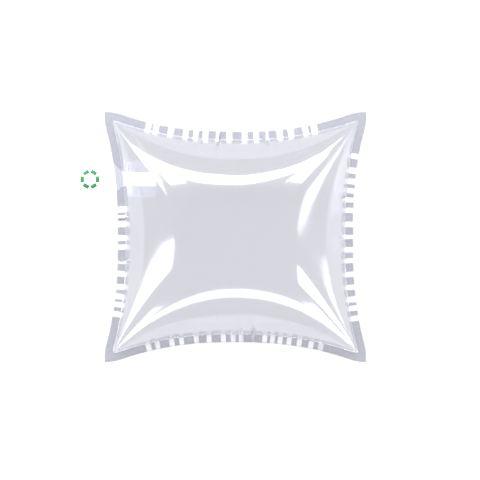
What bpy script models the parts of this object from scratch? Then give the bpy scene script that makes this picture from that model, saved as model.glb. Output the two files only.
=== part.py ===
"""A square air bag of clear film, blown up and lying on its back.

Two sheets of film are welded together round their rim, and a flat filling valve is welded into
the left side. Each sheet is laid out flat as it is cut, then every point of it is moved to where
the air pushes it. Metres, +Z up. The bag's width runs along X and its height along Y, the front
sheet faces +Z, and the flat spot that it rests on is centred on the origin.
"""

import math

import bmesh
import bpy

# Sheets as they are cut and welded, before they are filled
SHEET_WIDTH = 0.300
SHEET_HEIGHT = 0.284
WELD_WIDTH = 0.010
FILM_THICKNESS = 0.0001
WELD_GAP = 0.0003

# What the air does to them
BAG_THICKNESS = 0.132
FULLNESS = 2.3
CORNER_PULL_X = 0.039
CORNER_PULL_Y = 0.038
SIDE_BOW = 2.8
REST_SPOT = 0.052

# Folds that gather the welded sides
FOLDS_PER_SIDE = 24
FOLD_DEPTH = 0.0044
FOLD_REACH = 0.016
FOLDED_SHARE = 0.80
FOLD_FADE = 0.26

# Filling valve, with its middle line this far above the middle of the flat sheet
VALVE_HEIGHT = 0.066
VALVE_FILM = 0.00006
VALVE_GAP = 0.0003
VALVE_CLEARANCE = 0.0003
SLEEVE_LENGTH = 0.035
SLEEVE_WIDTH = 0.041
NECK_LENGTH = 0.003
NECK_WIDTH = 0.017
TAB_LENGTH = 0.041
TAB_WIDTH = 0.040
TAB_CORNER = 0.006
CHANNEL_WIDTH = 0.015
CHANNEL_BULGE = 0.0012
SPREAD_FADE = 0.014

# Mesh fineness
CORE_CELLS = FOLDS_PER_SIDE
VALVE_ROWS = 10

# Worked out from the sizes above
INNER_X = SHEET_WIDTH / 2 - WELD_WIDTH
INNER_Y = SHEET_HEIGHT / 2 - WELD_WIDTH
RISE = BAG_THICKNESS / 2
SPREAD_WIDTH = max(SLEEVE_WIDTH, TAB_WIDTH) / 2 + 2 * INNER_Y / FOLDS_PER_SIDE
STACK = VALVE_GAP / 2 + VALVE_FILM + VALVE_CLEARANCE
SPOT_DROP = RISE * (REST_SPOT / 2 / min(INNER_X, INNER_Y)) ** FULLNESS
WELD_LEVEL = RISE - SPOT_DROP


def smooth_step(value):
    """Runs from 0 to 1 with level ends as value does."""
    value = min(max(value, 0.0), 1.0)
    return value * value * (3 - 2 * value)


def arc_angle(half_length, rise):
    """Half angle of the arc that a strip of film makes when its middle is lifted."""
    low, high = 1e-6, math.pi * 0.9
    for _ in range(50):
        middle = (low + high) / 2
        if (1 - math.cos(middle)) / middle * half_length < rise:
            low = middle
        else:
            high = middle
    return (low + high) / 2


def swell(x, y):
    """Share of the full rise at a point of the flat sheet, 0 at the weld."""
    along = max(0.0, 1 - abs(x / INNER_X) ** FULLNESS)
    across = max(0.0, 1 - abs(y / INNER_Y) ** FULLNESS)
    both = along * across
    return both / (along + across - both) if both > 0 else 0.0


def drawn_in(along, across, half_length, pull):
    """Where film at a share of its half length comes to lie, on the row at a share across."""
    rise = RISE * max(0.0, 1 - min(abs(across), 1.0) ** SIDE_BOW)
    angle = arc_angle(half_length, max(rise, 1e-5))
    inside = min(abs(along), 1.0)
    place = half_length * math.sin(angle * inside) / angle
    place *= 1 - pull * min(abs(across), 1.0) ** 2
    place += (abs(along) - inside) * half_length
    return math.copysign(place, along)


def place_in_plan(x, y):
    """Plan position of a point of the flat sheet after the bag is filled."""
    along, across = x / INNER_X, y / INNER_Y
    return (drawn_in(along, across, INNER_X, CORNER_PULL_X),
            drawn_in(across, along, INNER_Y, CORNER_PULL_Y))


def valve_window(x, y):
    """One where the valve lies between the sheets, zero away from it."""
    if x > 0:
        return 0.0
    beyond = abs(y - VALVE_HEIGHT) - SPREAD_WIDTH
    return 1 - smooth_step(beyond / SPREAD_FADE)


def fold_height(x, y):
    """How far the gathered weld stands off its own level, the same for both sheets."""
    along, across = x / INNER_X, y / INNER_Y
    reach = max(abs(along), abs(across), 1e-6)
    if abs(along) >= abs(across):
        side, to_weld = across / reach, INNER_X * (1 - reach)
    else:
        side, to_weld = along / reach, INNER_Y * (1 - reach)
    fade = min(max(1 - to_weld / FOLD_REACH, 0.0), 1.0)
    middle = smooth_step((FOLDED_SHARE - abs(side)) / FOLD_FADE)
    turn = math.cos(math.pi * FOLDS_PER_SIDE * side)
    unevenness = 1 + 0.25 * math.sin(9 * side + 2 * along + 3 * across)
    return FOLD_DEPTH / 2 * fade * middle * turn * unevenness * (1 - valve_window(x, y))


def sheet_point(x, y, facing):
    """Place of a point of the flat sheet on the outer face of the front or the back film."""
    plan_x, plan_y = place_in_plan(x, y)
    spread = WELD_GAP / 2 + (STACK - WELD_GAP / 2) * valve_window(x, y) + FILM_THICKNESS
    height = spread + (RISE - spread) * swell(x, y)
    level = WELD_LEVEL + fold_height(x, y) + facing * height
    return plan_x, plan_y, max(level, 0.0)


def make_material(name, colour, roughness, alpha):
    material = bpy.data.materials.new(name)
    material.use_nodes = True
    shader = material.node_tree.nodes["Principled BSDF"]
    shader.inputs["Base Color"].default_value = (*colour, 1.0)
    shader.inputs["Roughness"].default_value = roughness
    shader.inputs["Metallic"].default_value = 0.0
    shader.inputs["Alpha"].default_value = alpha
    return material


def add_object(name, mesh_data, thickness, material):
    """Turns a surface into a film of real thickness, kept inside the surface."""
    mesh = bpy.data.meshes.new(name)
    mesh_data.to_mesh(mesh)
    mesh_data.free()
    mesh.materials.append(material)
    for face in mesh.polygons:
        face.use_smooth = True
    film = bpy.data.objects.new(name, mesh)
    bpy.context.scene.collection.objects.link(film)
    wall = film.modifiers.new("film", "SOLIDIFY")
    wall.thickness = thickness
    wall.offset = -1.0
    return film


def flat_sheet():
    """A grid as far as the folds reach, then finer rings out to the cut edge."""
    core_x, core_y = INNER_X - FOLD_REACH, INNER_Y - FOLD_REACH
    sheet = bmesh.new()
    bmesh.ops.create_grid(sheet, x_segments=CORE_CELLS, y_segments=CORE_CELLS, size=1.0)
    for vertex in sheet.verts:
        vertex.co.x *= core_x
        vertex.co.y *= core_y
    rim = [edge for edge in sheet.edges if edge.is_boundary]
    bmesh.ops.subdivide_edges(sheet, edges=rim, cuts=1, use_single_edge=True)
    rings = (-FOLD_REACH * 0.45, 0.0, WELD_WIDTH / 2, WELD_WIDTH)
    at_x, at_y = core_x, core_y
    for ring in rings:
        rim = [edge for edge in sheet.edges if edge.is_boundary]
        grown = bmesh.ops.extrude_edge_only(sheet, edges=rim)["geom"]
        next_x, next_y = INNER_X + ring, INNER_Y + ring
        for vertex in grown:
            if isinstance(vertex, bmesh.types.BMVert):
                vertex.co.x *= next_x / at_x
                vertex.co.y *= next_y / at_y
        at_x, at_y = next_x, next_y
    return sheet


def make_sheet(name, facing, material):
    """One welded sheet of the bag, facing +1 for the front and -1 for the back."""
    sheet = flat_sheet()
    for vertex in sheet.verts:
        vertex.co = sheet_point(vertex.co.x, vertex.co.y, facing)
    bmesh.ops.recalc_face_normals(sheet, faces=sheet.faces)
    top = max(sheet.faces, key=lambda face: facing * face.calc_center_median().z)
    if top.normal.z * facing < 0:
        bmesh.ops.reverse_faces(sheet, faces=sheet.faces)
    return add_object(name, sheet, FILM_THICKNESS, material)


def valve_places():
    """Where the valve's parts begin and end along X, from its inner end to the tab's end."""
    border = place_in_plan(-INNER_X, VALVE_HEIGHT)[0]
    places = {"inner_end": border + SLEEVE_LENGTH, "neck_start": border + 0.0005}
    places["shoulder"] = places["neck_start"] + (SLEEVE_WIDTH - NECK_WIDTH) / 10
    places["neck_end"] = places["neck_start"] - NECK_LENGTH
    places["funnel_end"] = places["neck_end"] - (TAB_WIDTH - NECK_WIDTH) / 2
    places["weld_edge"] = place_in_plan(-INNER_X - WELD_WIDTH, VALVE_HEIGHT)[0]
    places["tab_end"] = places["weld_edge"] - TAB_LENGTH
    places["tab_corner"] = places["tab_end"] + TAB_CORNER
    return places


def valve_half_width(at, places):
    """Half width of the valve at a place along it: sleeve, neck, funnel, then rounded tab."""
    if at >= places["shoulder"]:
        return SLEEVE_WIDTH / 2
    if at >= places["neck_end"]:
        return NECK_WIDTH / 2
    half_width = min(TAB_WIDTH / 2, NECK_WIDTH / 2 + places["neck_end"] - at)
    past_corner = max(0.0, places["tab_corner"] - at) / TAB_CORNER
    return half_width - TAB_CORNER * (1 - math.sqrt(max(0.0, 1 - past_corner ** 2)))


def channel_opening(at, places):
    """How far the air channel stands open, 0 in the weld and at both ends."""
    if at > places["neck_start"]:
        run = places["inner_end"] - places["neck_start"]
        return math.sin(math.pi * (at - places["neck_start"]) / run)
    if at < places["weld_edge"]:
        run = places["weld_edge"] - places["tab_end"]
        return 0.5 * math.sin(math.pi * (places["weld_edge"] - at) / run)
    return 0.0


def valve_stations(places):
    """Places along the valve where its outline or its channel bends."""
    def spread(start, end, steps):
        return [start + (end - start) * step / steps for step in range(steps + 1)]

    stations = spread(places["inner_end"], places["shoulder"], 6)
    stations += [places["neck_start"], places["neck_end"]]
    stations += spread(places["neck_end"], places["funnel_end"], 3)
    stations += spread(places["weld_edge"], places["tab_corner"], 5)
    stations += [places["tab_corner"] - TAB_CORNER * math.sin(math.pi / 2 * step / 4)
                 for step in range(1, 5)]
    kept = []
    for at in sorted(stations, reverse=True):
        if not kept or kept[-1] - at > 0.0002:
            kept.append(at)
    return kept


def make_valve_film(name, facing, material):
    """One of the valve's two films, bulged a little along its air channel."""
    places = valve_places()
    middle_y = place_in_plan(-INNER_X, VALVE_HEIGHT)[1]
    film = bmesh.new()
    rows = []
    for at in valve_stations(places):
        half_width = valve_half_width(at, places)
        opening = CHANNEL_BULGE * channel_opening(at, places)
        row = []
        for step in range(VALVE_ROWS + 1):
            across = half_width * (2 * step / VALVE_ROWS - 1)
            in_channel = min(abs(across) / (CHANNEL_WIDTH / 2), 1.0)
            bulge = opening * math.cos(math.pi / 2 * in_channel) ** 2
            level = WELD_LEVEL + facing * (VALVE_GAP / 2 + VALVE_FILM + bulge)
            row.append(film.verts.new((at, middle_y + across, level)))
        rows.append(row)
    for row, next_row in zip(rows, rows[1:]):
        for step in range(VALVE_ROWS):
            film.faces.new((row[step], row[step + 1], next_row[step + 1], next_row[step]))
    bmesh.ops.recalc_face_normals(film, faces=film.faces)
    film.faces.ensure_lookup_table()
    if film.faces[0].normal.z * facing < 0:
        bmesh.ops.reverse_faces(film, faces=film.faces)
    return add_object(name, film, VALVE_FILM, material)


def main():
    for item in list(bpy.data.objects):
        bpy.data.objects.remove(item, do_unlink=True)
    clear_film = make_material("clear_film", (0.68, 0.68, 0.76), 0.12, 0.45)
    white_film = make_material("white_valve_film", (0.88, 0.89, 0.90), 0.35, 1.0)
    make_sheet("front_film", 1, clear_film)
    make_sheet("back_film", -1, clear_film)
    make_valve_film("valve_front_film", 1, white_film)
    make_valve_film("valve_back_film", -1, white_film)


main()
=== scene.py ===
import math

import bpy
import numpy as np
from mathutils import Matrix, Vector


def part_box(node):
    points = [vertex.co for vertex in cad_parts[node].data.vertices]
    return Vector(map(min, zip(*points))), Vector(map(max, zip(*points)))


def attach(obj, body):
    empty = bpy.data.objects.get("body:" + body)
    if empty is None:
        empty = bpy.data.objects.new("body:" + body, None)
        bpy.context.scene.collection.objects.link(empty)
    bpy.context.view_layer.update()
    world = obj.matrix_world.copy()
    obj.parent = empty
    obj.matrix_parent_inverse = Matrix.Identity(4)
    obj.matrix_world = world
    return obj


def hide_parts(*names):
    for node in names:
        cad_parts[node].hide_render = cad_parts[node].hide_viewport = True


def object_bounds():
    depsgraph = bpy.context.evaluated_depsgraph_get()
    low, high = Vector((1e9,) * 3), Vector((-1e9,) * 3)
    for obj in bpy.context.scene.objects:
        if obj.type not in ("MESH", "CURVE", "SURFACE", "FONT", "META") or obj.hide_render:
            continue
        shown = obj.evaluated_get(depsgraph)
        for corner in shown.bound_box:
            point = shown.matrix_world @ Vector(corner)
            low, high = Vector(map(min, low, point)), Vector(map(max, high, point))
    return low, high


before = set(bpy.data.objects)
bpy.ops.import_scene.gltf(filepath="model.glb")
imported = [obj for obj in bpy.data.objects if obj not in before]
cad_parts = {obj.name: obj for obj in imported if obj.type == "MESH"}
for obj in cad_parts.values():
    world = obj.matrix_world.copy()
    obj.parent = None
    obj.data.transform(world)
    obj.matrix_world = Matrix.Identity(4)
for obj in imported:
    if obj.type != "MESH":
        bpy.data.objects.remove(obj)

cadLow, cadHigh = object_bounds()
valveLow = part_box("valve_back_film")[0]
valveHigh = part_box("valve_front_film")[1]
weldLevel = (valveLow.z + valveHigh.z) / 2
fullRise = cadHigh.z - weldLevel

# The bag: both sheets as they are cut and welded, and how the air draws them in, in metres
bag = {
    "sheetWidth": 0.306,
    "sheetHeight": 0.284,
    "weldWidth": 0.010,
    "filmThickness": 0.0001,
    "weldGap": 0.0003,
    "cornerPullX": 0.058,
    "cornerPullY": 0.032,
    "sideBow": 2.5,
    "fullness": 2.3,
    "valveHeight": 0.066,
    "valveSpread": 0.00051,
    "valveHalfSpan": 0.030,
    "seed": 3,
}
# Passes of the blow-up, each on a finer grid than the one before
blowUpPasses = [
    {"cells": (30, 28), "steps": 260, "push": 2.0e-5, "keep": 0.96, "hold": 0.5, "crush": (0.02, 0.02), "stiff": 0.0},
    {"cells": (60, 56), "steps": 140, "push": 1.0e-5, "keep": 0.95, "hold": 0.5, "crush": (0.02, 0.02), "stiff": 0.0},
    {"cells": (120, 112), "steps": 120, "push": 5.0e-6, "keep": 0.93, "hold": 0.4, "crush": (0.02, 0.02), "stiff": 0.0},
    {"cells": (210, 196), "steps": 320, "push": 3.0e-6, "keep": 0.90, "hold": 0.3, "crush": (0.05, 1.0), "stiff": 0.5},
]
# Pleats that gather the weld along the middle of each side
pleats = {
    "nearest": 0.0085,
    "furthest": 0.0175,
    "halfWidth": 0.0030,
    "height": 0.0022,
    "reach": 0.010,
    "halfSpanX": 0.104,
    "halfSpanY": 0.096,
    "seed": 11,
}
innerX = bag["sheetWidth"] / 2 - bag["weldWidth"]
innerY = bag["sheetHeight"] / 2 - bag["weldWidth"]
weldSides = ("top", "bottom", "left", "right")


def softStep(value):
    value = np.clip(value, 0, 1)
    return value * value * (3 - 2 * value)


def flatGrid(columns, rows):
    across = np.linspace(-bag["sheetWidth"] / 2, bag["sheetWidth"] / 2, columns + 1)
    up = np.linspace(-bag["sheetHeight"] / 2, bag["sheetHeight"] / 2, rows + 1)
    return np.meshgrid(across, up)


def drawnIn(along, across, halfLength, pull):
    # Each strip of film becomes an arc as long as the strip, lifted most in the middle of the bag
    rise = fullRise * np.sqrt(1 - np.minimum(abs(across), 1) ** bag["sideBow"])
    wanted = np.maximum(rise, 1e-5) / halfLength
    low, high = np.full_like(wanted, 1e-6), np.full_like(wanted, math.pi * 0.9)
    for _ in range(40):
        middle = (low + high) / 2
        short = (1 - np.cos(middle)) / middle < wanted
        low, high = np.where(short, middle, low), np.where(short, high, middle)
    inside = np.minimum(abs(along), 1)
    place = halfLength * np.sin(low * inside) / low * (1 - pull * np.minimum(abs(across), 1) ** 2)
    return np.sign(along) * (place + (abs(along) - inside) * halfLength)


def planPlaces(x, y):
    along, across = x / innerX, y / innerY
    return (drawnIn(along, across, innerX, bag["cornerPullX"]),
            drawnIn(across, along, innerY, bag["cornerPullY"]))


def swell(x, y):
    along = 1 - np.minimum(abs(x / innerX), 1) ** bag["fullness"]
    across = 1 - np.minimum(abs(y / innerY), 1) ** bag["fullness"]
    return along * across / np.maximum(along + across - along * across, 1e-9)


def besideValve(x, y):
    # One where the valve lies between the sheets, zero away from it
    return np.where(x < 0, 1 - softStep((abs(y - bag["valveHeight"]) - bag["valveHalfSpan"]) / 0.012), 0)


def blurred(values, reach):
    def along(values, axis):
        values = np.moveaxis(values, axis, 0)
        count = values.shape[0]
        before = np.zeros((reach + 1,) + values.shape[1:])
        after = np.zeros((reach,) + values.shape[1:])
        total = np.cumsum(np.concatenate([before, values, after]), 0)
        mean = (total[2 * reach + 1:][:count] - total[:count]) / (2 * reach + 1)
        return np.moveaxis(mean, 0, axis)
    return along(along(values, 0), 1)


def refined(points, columns, rows):
    # Cubic curves through the coarse grid's points, one way and then the other
    def along(values, count):
        old = values.shape[0] - 1
        at = np.linspace(0, old, count + 1)
        cell = np.minimum(at.astype(int), old - 1)
        part = (at - cell)[:, None, None]
        ends = np.concatenate([2 * values[:1] - values[1:2], values, 2 * values[-1:] - values[-2:-1]])
        p0, p1, p2, p3 = (ends[cell + step] for step in range(4))
        bend = 2 * p0 - 5 * p1 + 4 * p2 - p3 + part * (3 * (p1 - p2) + p3 - p0)
        return p1 + part * (p2 - p0 + part * bend) / 2
    points = along(points, rows)
    return np.moveaxis(along(np.moveaxis(points, 1, 0), columns), 1, 0)


def springSets(columns, rows):
    # No point is used twice in a set, so that all of a set's springs draw at once
    width, height = bag["sheetWidth"] / columns, bag["sheetHeight"] / rows
    diagonal = math.hypot(width, height)
    every = slice(None)
    left, right = slice(0, columns), slice(1, columns + 1)
    sets = []
    for start in (0, 1):
        near, far = slice(start, columns, 2), slice(start + 1, columns + 1, 2)
        sets.append(((every, near), (every, far), width, 1.0))
        near, far = slice(start, rows, 2), slice(start + 1, rows + 1, 2)
        sets.append(((near, every), (far, every), height, 1.0))
        sets.append(((near, left), (far, right), diagonal, 0.35))
        sets.append(((near, right), (far, left), diagonal, 0.35))
    return sets


def draw(points, near, far, length, share, crush):
    both = (slice(None),)
    start, end = points[both + near], points[both + far]
    gap = end - start
    span = np.sqrt(np.einsum("...k,...k->...", gap, gap)) + 1e-9
    move = (span - length) / span
    if crush < 1:
        move = np.where(move < 0, move * crush, move)
    gap *= (move * (0.5 * share))[..., None]
    start += gap
    end -= gap


def pleatPlaces():
    # Where the pleats lie along each side, how large each is and which way it stands
    rng = np.random.default_rng(pleats["seed"])
    places = {}
    for side in weldSides:
        halfSpan = pleats["halfSpanX"] if side in ("top", "bottom") else pleats["halfSpanY"]
        at = -halfSpan + rng.uniform(0, 0.008)
        places[side] = []
        while at < halfSpan:
            size = rng.choice([-1, 1]) * rng.uniform(0.6, 1.25)
            if side != "left" or abs(at - bag["valveHeight"]) > bag["valveHalfSpan"]:
                places[side].append((at, size))
            at += rng.uniform(pleats["nearest"], pleats["furthest"])
    return places


def pleatField(x, y, places):
    # How high the pleats stand, how much of a pleat each point is (where white is painted as the pleats' reflection),
    # and 0 on their creases
    toSideX, toSideY = innerX - abs(x), innerY - abs(y)
    beyond = {"top": y > 0, "bottom": y < 0, "left": x < 0, "right": x > 0}
    height, paintedPleatReflection, flat = np.zeros_like(x), np.zeros_like(x), np.ones_like(x)
    for side in weldSides:
        level = side in ("top", "bottom")
        ours = beyond[side] & ((toSideY < toSideX) if level else (toSideX <= toSideY))
        along, toWeld = (x, toSideY) if level else (y, toSideX)
        fade = softStep(1 - toWeld / pleats["reach"])
        for at, size in places[side]:
            away = abs(along - at) / pleats["halfWidth"]
            tent = np.maximum(0, 1 - away)
            height += np.where(ours, tent * size * fade, 0)
            paintedPleatReflection = np.maximum(paintedPleatReflection, np.where(ours, softStep((1.25 - away) / 0.4) * fade, 0))
            crease = softStep(away / 0.6) * softStep(abs(away - 1) / 0.4)
            flat = np.minimum(flat, np.where(ours, crease, 1))
    return height * pleats["height"], paintedPleatReflection, flat


def airPush(points, ring):
    # The air pushes each free cell along its own normal
    air = np.zeros_like(points)
    for side, facing in ((0, 1), (1, -1)):
        film = points[side]
        push = np.cross(film[1:, 1:] - film[:-1, :-1], film[1:, :-1] - film[:-1, 1:]) * (facing / 8)
        push[:ring] = push[-ring:] = 0
        push[:, :ring] = push[:, -ring:] = 0
        for rowCut in (slice(None, -1), slice(1, None)):
            for columnCut in (slice(None, -1), slice(1, None)):
                air[side, rowCut, columnCut] += push
    return air


def blowUp(front, back, run, places):
    columns, rows = run["cells"]
    x, y = flatGrid(columns, rows)
    width, height = bag["sheetWidth"] / columns, bag["sheetHeight"] / rows
    ring = int(round(bag["weldWidth"] / width))
    weld = np.ones((rows + 1, columns + 1), bool)
    weld[ring + 1:rows - ring, ring + 1:columns - ring] = False
    border = np.zeros_like(weld)
    border[ring:rows + 1 - ring, ring:columns + 1 - ring] = True
    border &= weld
    target = np.stack([*planPlaces(x, y), np.zeros_like(x)], -1)

    # The border is led to its outline, but only across it, so that film may slide along it
    fromCorner = np.hypot(np.maximum(innerX - abs(x), 0), np.maximum(innerY - abs(y), 0))
    alongSide = softStep((0.060 - fromCorner) / 0.045)
    level = (abs(y) - innerY) > (abs(x) - innerX)
    sideways = [np.where(level, alongSide, 1), np.where(level, 1, alongSide), np.ones_like(x)]
    sideways = np.stack(sideways, -1).astype(np.float32)
    reach = max(1, int(round(0.012 / width)))
    share = np.maximum(blurred(blurred(border[..., None].astype(float), reach), reach), 1e-4)
    atValve = (besideValve(x, y) * weld * 0.5).astype(np.float32)

    # The double film of the weld is stiff, apart from its creases
    _, _, flat = pleatField(x, y, places)
    alongWeld = (np.where(weld, flat, 0.06) * run["stiff"]).astype(np.float32)
    acrossWeld = (np.where(weld, 1.0, 0.06) * run["stiff"]).astype(np.float32)
    stiffX = np.where(level, alongWeld, acrossWeld)[..., None]
    stiffY = np.where(level, acrossWeld, alongWeld)[..., None]

    sets = springSets(columns, rows)
    points = np.stack([front, back]).astype(np.float32)
    speed = np.zeros_like(points)
    for step in range(run["steps"]):
        rise = (points[0, ..., 2].max() - points[1, ..., 2].min()) / 2
        room = np.clip((fullRise - rise) / 0.002 + 0.5, 0, 1)    # no more air goes into a full bag
        before = points.copy()
        speed = speed * run["keep"] + airPush(points, ring) * (run["push"] / (width * height) * room)
        speed[:, weld] = ((speed[0] + speed[1]) / 2)[weld]
        points += speed
        crush = np.interp(step / run["steps"], (0, 0.5), run["crush"])
        for near, far, length, part in sets:
            draw(points, near, far, length, part, crush)
        if run["stiff"] > 0:
            middle = points[:, :, 1:-1]
            middle += ((points[:, :, :-2] + points[:, :, 2:]) / 2 - middle) * stiffX[:, 1:-1]
            middle = points[:, 1:-1]
            middle += ((points[:, :-2] + points[:, 2:]) / 2 - middle) * stiffY[1:-1]
        points[:, weld] = ((points[0] + points[1]) / 2)[weld]
        off = np.where(border[..., None], target - points[0], 0)
        lead = (blurred(blurred(off, reach), reach) / share).astype(np.float32) * sideways * run["hold"]
        points[:, weld] += lead[weld]
        points[..., 2] -= points[..., 2] * atValve
        speed = points - before
    return points[0].astype(float), points[1].astype(float)


def filledBag():
    places = pleatPlaces()
    x, y = flatGrid(*blowUpPasses[0]["cells"])
    planX, planY = planPlaces(x, y)
    ripple = np.random.default_rng(bag["seed"]).normal(size=x.shape) * 0.0004
    front = np.stack([planX, planY, ripple + fullRise * swell(x, y)], -1)
    back = np.stack([planX, planY, ripple - fullRise * swell(x, y)], -1)
    for run in blowUpPasses[:4]:
        front, back = refined(front, *run["cells"]), refined(back, *run["cells"])
        if run["stiff"] > 0:
            height, _, _ = pleatField(*flatGrid(*run["cells"]), places)
            front[..., 2] += height
            back[..., 2] += height
        front, back = blowUp(front, back, run, places)
        print("blown up on a grid of", run["cells"])
    return front, back, places


def gridMesh(name, points, flatX, flatY, facing):
    # A sheet of quads with its flat places as UV map
    rows, columns = points.shape[0] - 1, points.shape[1] - 1
    index = np.arange((rows + 1) * (columns + 1)).reshape(rows + 1, columns + 1)
    quads = np.stack([index[:-1, :-1], index[:-1, 1:], index[1:, 1:], index[1:, :-1]], -1).reshape(-1, 4)
    if facing < 0:
        quads = quads[:, ::-1]
    mesh = bpy.data.meshes.new(name)
    mesh.from_pydata(points.reshape(-1, 3).tolist(), [], quads.tolist())
    mesh.update()
    mesh.polygons.foreach_set("use_smooth", [True] * len(mesh.polygons))
    uv = mesh.uv_layers.new(name="flat")
    places = np.stack([flatX, flatY], -1).reshape(-1, 2)[quads.reshape(-1)]
    uv.data.foreach_set("uv", places.astype(np.float32).reshape(-1))
    piece = bpy.data.objects.new(name, mesh)
    bpy.context.scene.collection.objects.link(piece)
    return piece


def addShare(piece, name, values):
    attribute = piece.data.attributes.new(name, "FLOAT", "POINT")
    attribute.data.foreach_set("value", values.astype(np.float32).reshape(-1))


def addWall(piece, thickness):
    wall = piece.modifiers.new("film", "SOLIDIFY")
    wall.thickness = thickness
    wall.offset = -1.0


def filmPiece(name, points, facing, places):
    rows, columns = points.shape[0] - 1, points.shape[1] - 1
    x, y = flatGrid(columns, rows)
    normal = np.cross(np.gradient(points, axis=1), np.gradient(points, axis=0))
    normal *= facing / np.maximum(np.linalg.norm(normal, axis=-1, keepdims=True), 1e-12)
    window = besideValve(x, y) * softStep((-x - innerX + 0.016) / 0.006)
    stack = bag["weldGap"] / 2 + (bag["valveSpread"] - bag["weldGap"] / 2) * window
    outside = points + normal * (stack + bag["filmThickness"])[..., None]
    outside[..., 2] += weldLevel
    low = outside[..., 2]
    outside[..., 2] = (low + np.sqrt(low * low + 0.0012 ** 2)) / 2    # the floor flattens it a little
    piece = gridMesh(name, outside, x / bag["sheetWidth"] + 0.5, y / bag["sheetHeight"] + 0.5, facing)
    beyond = np.maximum(abs(x) - innerX, abs(y) - innerY)
    _, paintedPleatReflection, _ = pleatField(x, y, places)
    addShare(piece, "weld", softStep(beyond / 0.001 + 0.5))
    # The pleat attribute marks where the film is painted white, a painted reflection of the bright surroundings on the
    # pleats
    addShare(piece, "pleat", paintedPleatReflection)
    addWall(piece, bag["filmThickness"])
    return piece


# The filling valve: tab, funnel and neck outside, sleeve inside
valve = {
    "film": 0.00006,
    "gap": 0.0003,
    "sleeveLength": 0.035,
    "neckLength": 0.003,
    "neckWidth": 0.017,
    "tabWidth": 0.040,
    "tabLength": 0.041,
    "tabCorner": 0.006,
    "channelWidth": 0.015,
    "channelBulge": 0.0012,
    "cell": 0.0008,
}
valveMiddle = (valveLow.y + valveHigh.y) / 2
sleeveWidth = valveHigh.y - valveLow.y


def valveOutline(at):
    # Half width of the valve at a place along it
    border = valveHigh.x - valve["sleeveLength"]
    neckStart = border + 0.0005
    shoulder = neckStart + (sleeveWidth - valve["neckWidth"]) / 10
    neckEnd = neckStart - valve["neckLength"]
    tab = np.minimum(valve["tabWidth"] / 2, valve["neckWidth"] / 2 + neckEnd - at)
    pastCorner = np.clip((valveLow.x + valve["tabCorner"] - at) / valve["tabCorner"], 0, 1)
    tab = tab - valve["tabCorner"] * (1 - np.sqrt(1 - pastCorner ** 2))
    neck = np.full_like(at, valve["neckWidth"] / 2)
    return np.where(at > shoulder, sleeveWidth / 2, np.where(at > neckEnd, neck, tab))


def valvePiece(name, facing):
    along = int((valveHigh.x - valveLow.x) / valve["cell"])
    acrossCells = int(sleeveWidth / valve["cell"])
    at = np.linspace(valveLow.x, valveHigh.x, along + 1)
    half = valveOutline(at)
    x, side = np.meshgrid(at, np.linspace(-1, 1, acrossCells + 1))
    y = side * half[None, :]
    border = valveHigh.x - valve["sleeveLength"]
    weldEdge = border - bag["weldWidth"]
    inSleeve = np.clip((x - border) / valve["sleeveLength"], 0, 1)
    inTab = np.clip((weldEdge - x) / (weldEdge - valveLow.x), 0, 1)
    opening = np.sin(np.pi * inSleeve) + 0.5 * np.sin(np.pi * inTab)
    channel = np.cos(np.pi / 2 * np.minimum(abs(y) / (valve["channelWidth"] / 2), 1)) ** 2
    bulge = valve["channelBulge"] * opening * channel
    wave = 0.0010 * inTab ** 1.5 * np.sin(170 * y + 2) - 0.0030 * inTab ** 2
    wave += 0.0005 * softStep(inSleeve * 4) * np.sin(420 * y + 90 * x + 60 * np.sin(60 * x)) * (1 - channel)
    level = weldLevel + wave + facing * (valve["gap"] / 2 + valve["film"] + bulge)
    points = np.stack([x, valveMiddle + y, level], -1)
    piece = gridMesh(name, points, (x - valveLow.x) / 0.1, y / 0.1 + 0.5, facing)
    white = np.where(x < border, 1, softStep((valve["channelWidth"] / 2 - abs(y)) / 0.0006 + 0.5))
    addShare(piece, "white", white)
    addWall(piece, valve["film"])
    return piece


class Wire:
    # A value on its way through a node tree: sums on it add their Math nodes
    def __init__(self, trunk, socket):
        self.trunk, self.socket = trunk, socket

    def sum(self, operation, first, second):
        return self.trunk.add("ShaderNodeMath", {"operation": operation}, {0: first, 1: second})

    def __add__(self, other):
        return self.sum("ADD", self, other)

    __radd__ = __add__

    def __sub__(self, other):
        return self.sum("SUBTRACT", self, other)

    def __rsub__(self, other):
        return self.sum("SUBTRACT", other, self)

    def __mul__(self, other):
        return self.sum("MULTIPLY", self, other)

    __rmul__ = __mul__

    def __truediv__(self, other):
        return self.sum("DIVIDE", self, other)

    def power(self, exponent):
        return self.sum("POWER", self, exponent)

    def clear(self, low, high):
        # Runs smoothly from 0 to 1 as the value goes from low to high
        sockets = {"Value": self, "From Min": low, "From Max": high}
        return self.trunk.add("ShaderNodeMapRange", {"interpolation_type": "SMOOTHSTEP"}, sockets)


class Finish:
    def __init__(self, name):
        self.material = bpy.data.materials.new(name)
        self.material.use_nodes = True
        self.tree = self.material.node_tree
        self.tree.nodes.clear()

    def add(self, kind, settings=None, sockets=None, out=0):
        # Any node: its settings first, then the values or wires of its sockets
        node = self.tree.nodes.new(kind)
        for name, value in (settings or {}).items():
            setattr(node, name, value)
        for name, value in (sockets or {}).items():
            if isinstance(value, Wire):
                self.tree.links.new(value.socket, node.inputs[name])
            else:
                node.inputs[name].default_value = value
        return Wire(self, node.outputs[out]) if len(node.outputs) else None

    def share(self, name):
        return self.add("ShaderNodeAttribute", {"attribute_name": name}, out=2)

    def blend(self, factor, first, second):
        sockets = {0: factor, 6: first, 7: second}
        return self.add("ShaderNodeMix", {"data_type": "RGBA"}, sockets, out=2)

    def mirrored(self):
        # How much a clear film mirrors: little straight on, all of it at a glancing angle
        away = self.add("ShaderNodeLayerWeight", sockets={"Blend": 0.5}, out=1)
        return away.power(5) * 0.96 + 0.04

    def done(self, surface):
        self.add("ShaderNodeOutputMaterial", sockets={"Surface": surface})
        return self.material


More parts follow.
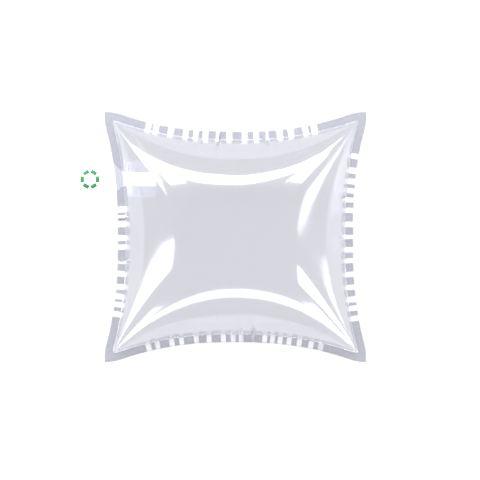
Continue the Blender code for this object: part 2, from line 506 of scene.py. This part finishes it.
filmLook = {
    "tint": (0.935, 0.935, 0.952, 1),
    "shine": (0.86, 0.88, 0.92, 1),
    "weldGrey": (0.30, 0.31, 0.36, 1),
    # The pleats' white is a painted reflection of the bright surroundings, not a colour of the film
    "pleatPaintedReflection": (0.93, 0.93, 0.95, 1),
    "haze": 0.02,
    "weldHaze": 0.16,
    "pleatPaintedReflectionShare": 0.45,
    "roughness": 0.10,
    "ior": 1.5,
}


def clearFilmFinish():
    look = Finish("clearFilm")
    weld, pleat = look.share("weld"), look.share("pleat")
    fresnel = look.mirrored()
    colour = look.blend(weld, filmLook["shine"], filmLook["weldGrey"])
    # The pleats are painted white: a painted reflection on their steep walls
    colour = look.blend(pleat, colour, filmLook["pleatPaintedReflection"])
    roughness = weld * 0.18 + filmLook["roughness"]
    metal = 1 - weld
    gloss = look.add("ShaderNodeBsdfPrincipled", sockets={
        "Base Color": colour, "Roughness": roughness, "Metallic": metal, "IOR": filmLook["ior"]})
    clear = look.add("ShaderNodeBsdfTransparent", sockets={"Color": filmLook["tint"]})
    # On the pleats the clear film is mostly covered by that painted white reflection
    cover = fresnel + filmLook["haze"] + weld * filmLook["weldHaze"] + pleat * filmLook["pleatPaintedReflectionShare"]
    mixed = look.add("ShaderNodeMixShader", sockets={0: cover, 1: clear, 2: gloss})
    return look.done(mixed)


valveLook = {
    "white": (0.93, 0.935, 0.94, 1),
    "sleeve": (0.85, 0.86, 0.90, 1),
    "tint": (0.95, 0.95, 0.96, 1),
    "roughness": 0.28,
}


def valveFinish():
    look = Finish("valveFilm")
    white = look.share("white")
    fresnel = look.mirrored()
    colour = look.blend(white, valveLook["sleeve"], valveLook["white"])
    gloss = look.add("ShaderNodeBsdfPrincipled", sockets={
        "Base Color": colour, "Roughness": valveLook["roughness"], "IOR": 1.5})
    clear = look.add("ShaderNodeBsdfTransparent", sockets={"Color": valveLook["tint"]})
    cover = white * 0.98 + (1 - white) * 0.12 + fresnel * (1 - white)
    mixed = look.add("ShaderNodeMixShader", sockets={0: cover, 1: clear, 2: gloss})
    return look.done(mixed)


inkLook = {"green": (0.012, 0.150, 0.035, 1), "grey": (0.36, 0.42, 0.38, 1), "roughness": 0.4}


def inkFinish(name, colour):
    look = Finish(name)
    noise = look.add("ShaderNodeTexNoise", sockets={"Scale": 900.0, "Detail": 2.0,
                     "Vector": look.add("ShaderNodeTexCoord", out=3)})
    paler = tuple(min(1, part * 1.35 + 0.01) for part in colour[:3]) + (1,)
    gloss = look.add("ShaderNodeBsdfPrincipled", sockets={
        "Base Color": look.blend(noise, colour, paler), "Roughness": inkLook["roughness"]})
    return look.done(gloss)


# Print on the tab: a ring of plain blocks and a column of plain bars
printed = {
    "ringX": 0.0130,
    "ringRadius": 0.0085,
    "blockLength": 0.0068,
    "blockWidth": 0.0042,
    "blocks": 6,
    "barX": 0.0300,
    "barLength": 0.0040,
    "barWidth": 0.0012,
    "barPitch": 0.0023,
    "bars": 7,
    "thickness": 0.00004,
}


class Shaping:
    # A geometry node tree with named inputs
    def __init__(self, name, inputs):
        self.tree = bpy.data.node_groups.new(name, "GeometryNodeTree")
        self.tree.interface.new_socket("Geometry", in_out="OUTPUT", socket_type="NodeSocketGeometry")
        self.identifiers = {}
        for label, (kind, value) in inputs.items():
            socket = self.tree.interface.new_socket(label, in_out="INPUT", socket_type=kind)
            if value is not None:
                socket.default_value = value
            self.identifiers[label] = socket.identifier
        self.given = self.tree.nodes.new("NodeGroupInput")

    def input(self, label):
        return self.given.outputs[label]

    def add(self, kind, settings=None, sockets=None, out=0):
        node = self.tree.nodes.new(kind)
        for name, value in (settings or {}).items():
            setattr(node, name, value)
        for name, value in (sockets or {}).items():
            if isinstance(value, bpy.types.NodeSocket):
                self.tree.links.new(value, node.inputs[name])
            else:
                node.inputs[name].default_value = value
        return node.outputs[out]

    def made(self, name, geometry, values):
        # Ends the tree, sets its inputs, and turns its result into a plain mesh
        real = self.add("GeometryNodeRealizeInstances", sockets={"Geometry": geometry})
        done = self.add("GeometryNodeSetMaterial", sockets={"Geometry": real, "Material": self.input("Ink")})
        self.tree.links.new(done, self.tree.nodes.new("NodeGroupOutput").inputs[0])
        holder = bpy.data.objects.new(name + "Maker", bpy.data.meshes.new(name + "Maker"))
        bpy.context.scene.collection.objects.link(holder)
        maker = holder.modifiers.new("maker", "NODES")
        maker.node_group = self.tree
        for label, value in values.items():
            maker[self.identifiers[label]] = value
        seen = holder.evaluated_get(bpy.context.evaluated_depsgraph_get())
        mesh = bpy.data.meshes.new_from_object(seen)
        bpy.data.objects.remove(holder)
        mesh.name = name
        piece = bpy.data.objects.new(name, mesh)
        bpy.context.scene.collection.objects.link(piece)
        return piece


def tabLevel(x, y):
    # Height of the valve's front face at a place on the tab
    weldEdge = valveHigh.x - valve["sleeveLength"] - bag["weldWidth"]
    inTab = np.clip((weldEdge - x) / (weldEdge - valveLow.x), 0, 1)
    channel = np.cos(np.pi / 2 * np.minimum(abs(y) / (valve["channelWidth"] / 2), 1)) ** 2
    bulge = valve["channelBulge"] * 0.5 * np.sin(np.pi * inTab) * channel
    wave = 0.0010 * inTab ** 1.5 * np.sin(170 * y + 2) - 0.0030 * inTab ** 2
    return weldLevel + wave + valve["gap"] / 2 + valve["film"] + bulge


def layOnTab(piece):
    for vertex in piece.data.vertices:
        x, y = vertex.co.x, vertex.co.y - valveMiddle
        vertex.co.z += tabLevel(x, y) + 0.00002


def printRing(ink):
    sizes = {
        "Blocks": ("NodeSocketInt", 6),
        "Radius": ("NodeSocketFloat", 0.01),
        "Block": ("NodeSocketVector", None),
        "Middle": ("NodeSocketVector", None),
        "Ink": ("NodeSocketMaterial", None),
    }
    shaping = Shaping("printRing", sizes)
    ring = shaping.add("GeometryNodeMeshCircle", sockets={
        "Vertices": shaping.input("Blocks"), "Radius": shaping.input("Radius")})
    block = shaping.add("GeometryNodeMeshCube", sockets={
        "Size": shaping.input("Block"), "Vertices X": 5, "Vertices Y": 8})
    spot = shaping.add("GeometryNodeInputPosition")
    turn = shaping.add("FunctionNodeAlignRotationToVector", {"axis": "X"}, {"Vector": spot})
    placed = shaping.add("GeometryNodeInstanceOnPoints", sockets={
        "Points": ring, "Instance": block, "Rotation": turn})
    moved = shaping.add("GeometryNodeTransform", sockets={
        "Geometry": placed, "Translation": shaping.input("Middle")})
    piece = shaping.made("printRing", moved, {
        "Blocks": printed["blocks"],
        "Radius": printed["ringRadius"],
        "Block": (printed["blockWidth"], printed["blockLength"], printed["thickness"]),
        "Middle": (valveLow.x + printed["ringX"], valveMiddle, printed["thickness"] / 2),
        "Ink": ink,
    })
    layOnTab(piece)
    return piece


def printBars(ink):
    sizes = {
        "Bars": ("NodeSocketInt", 6),
        "Start": ("NodeSocketVector", None),
        "Step": ("NodeSocketVector", None),
        "Bar": ("NodeSocketVector", None),
        "Ink": ("NodeSocketMaterial", None),
    }
    shaping = Shaping("printBars", sizes)
    line = shaping.add("GeometryNodeMeshLine", sockets={
        "Count": shaping.input("Bars"), "Start Location": shaping.input("Start"), "Offset": shaping.input("Step")})
    bar = shaping.add("GeometryNodeMeshCube", sockets={"Size": shaping.input("Bar"), "Vertices X": 4})
    placed = shaping.add("GeometryNodeInstanceOnPoints", sockets={"Points": line, "Instance": bar})
    halfHeight = printed["barPitch"] * (printed["bars"] - 1) / 2
    piece = shaping.made("printBars", placed, {
        "Bars": printed["bars"],
        "Start": (valveLow.x + printed["barX"], valveMiddle - halfHeight, printed["thickness"] / 2),
        "Step": (0.0, printed["barPitch"], 0.0),
        "Bar": (printed["barLength"], printed["barWidth"], printed["thickness"]),
        "Ink": ink,
    })
    layOnTab(piece)
    return piece


# Studio: a white floor, soft lamps and the camera straight above
studio = {
    "floorSize": 8.0,
    "floorGrey": (0.80, 0.80, 0.80, 1),
    "selfWhite": 0.90,
    "worldGrey": 0.55,
    "eyeHeight": 2.0,
    "framed": 0.528,
    "sensor": 36.0,
    "lookX": 0.0050,
    "lookY": -0.0033,
}
lamps = [
    {"name": "topStrip", "at": (-0.20, 0.95, 0.80), "size": (2.2, 0.26), "watts": 26},
    {"name": "topLeft", "at": (-0.62, 0.80, 0.86), "size": (0.36, 0.36), "watts": 9},
    {"name": "topRight", "at": (0.62, 0.82, 0.86), "size": (0.34, 0.34), "watts": 8},
    {"name": "right", "at": (1.05, -0.50, 0.70), "size": (0.30, 0.90), "watts": 10},
    {"name": "left", "at": (-1.20, -0.20, 0.55), "size": (0.30, 1.20), "watts": 9},
]


def cameraOnly(look):
    # One for rays whose way back to the camera is straight, mirrored or through glass
    path = look.tree.nodes.new("ShaderNodeLightPath")
    seen = Wire(look, path.outputs["Is Camera Ray"]) + Wire(look, path.outputs["Is Glossy Ray"])
    seen = seen + Wire(look, path.outputs["Is Transmission Ray"])
    return look.add("ShaderNodeClamp", sockets={"Value": seen})


def floorFinish():
    look = Finish("paleFloor")
    plain = look.add("ShaderNodeBsdfDiffuse", sockets={"Color": studio["floorGrey"]})
    white = look.add("ShaderNodeEmission", sockets={"Color": (1, 1, 1, 1), "Strength": 1.0})
    share = cameraOnly(look) * studio["selfWhite"]
    return look.done(look.add("ShaderNodeMixShader", sockets={0: share, 1: plain, 2: white}))


def addFloor():
    half = studio["floorSize"] / 2
    corners = [(-half, -half, -0.0003), (half, -half, -0.0003), (half, half, -0.0003), (-half, half, -0.0003)]
    mesh = bpy.data.meshes.new("floor")
    mesh.from_pydata(corners, [], [(0, 1, 2, 3)])
    floor = bpy.data.objects.new("floor", mesh)
    bpy.context.scene.collection.objects.link(floor)
    mesh.materials.append(floorFinish())


def addWorld():
    world = bpy.data.worlds.new("studio")
    world.use_nodes = True
    tree = world.node_tree
    tree.nodes.clear()
    path = tree.nodes.new("ShaderNodeLightPath")
    seen = tree.nodes.new("ShaderNodeMix")
    seen.data_type = "FLOAT"
    seen.inputs["A"].default_value = studio["worldGrey"]
    seen.inputs["B"].default_value = 1.0
    tree.links.new(path.outputs["Is Camera Ray"], seen.inputs["Factor"])
    light = tree.nodes.new("ShaderNodeBackground")
    tree.links.new(seen.outputs[0], light.inputs["Strength"])
    out = tree.nodes.new("ShaderNodeOutputWorld")
    tree.links.new(light.outputs[0], out.inputs["Surface"])
    bpy.context.scene.world = world


def addLamps():
    for lamp in lamps:
        light = bpy.data.lights.new(lamp["name"], "AREA")
        light.shape = "RECTANGLE"
        light.size, light.size_y = lamp["size"]
        light.energy = lamp["watts"]
        holder = bpy.data.objects.new(lamp["name"], light)
        holder.location = lamp["at"]
        aim = holder.location.copy()
        aim.z -= weldLevel
        holder.rotation_euler = aim.to_track_quat("Z", "Y").to_euler()
        holder.visible_camera = False
        bpy.context.scene.collection.objects.link(holder)


def addCamera():
    camera = bpy.data.cameras.new("above")
    camera.sensor_width = studio["sensor"]
    camera.lens = studio["sensor"] * studio["eyeHeight"] / studio["framed"]
    holder = bpy.data.objects.new("above", camera)
    holder.location = (studio["lookX"], studio["lookY"], weldLevel + studio["eyeHeight"])
    bpy.context.scene.collection.objects.link(holder)
    bpy.context.scene.camera = holder


frontPoints, backPoints, pleatsMade = filledBag()
frontFilm = filmPiece("frontFilm", frontPoints, 1, pleatsMade)
backFilm = filmPiece("backFilm", backPoints, -1, pleatsMade)
valveFront = valvePiece("valveFrontFilm", 1)
valveBack = valvePiece("valveBackFilm", -1)
print("films and valve shaped")

clearFilm, valveFilm = clearFilmFinish(), valveFinish()
for piece, finish in ((frontFilm, clearFilm), (backFilm, clearFilm), (valveFront, valveFilm), (valveBack, valveFilm)):
    piece.data.materials.append(finish)
ring = printRing(inkFinish("greenInk", inkLook["green"]))
bars = printBars(inkFinish("greyInk", inkLook["grey"]))
print("print laid on the tab")

for piece in (frontFilm, backFilm, valveFront, valveBack, ring, bars):
    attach(piece, "root")
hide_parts("front_film")
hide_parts("back_film")
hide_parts("valve_front_film")
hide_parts("valve_back_film")

addFloor()
addWorld()
addLamps()
addCamera()
bpy.context.scene.view_settings.view_transform = "Standard"
bpy.context.scene.cycles.transparent_max_bounces = 32
print("studio set")
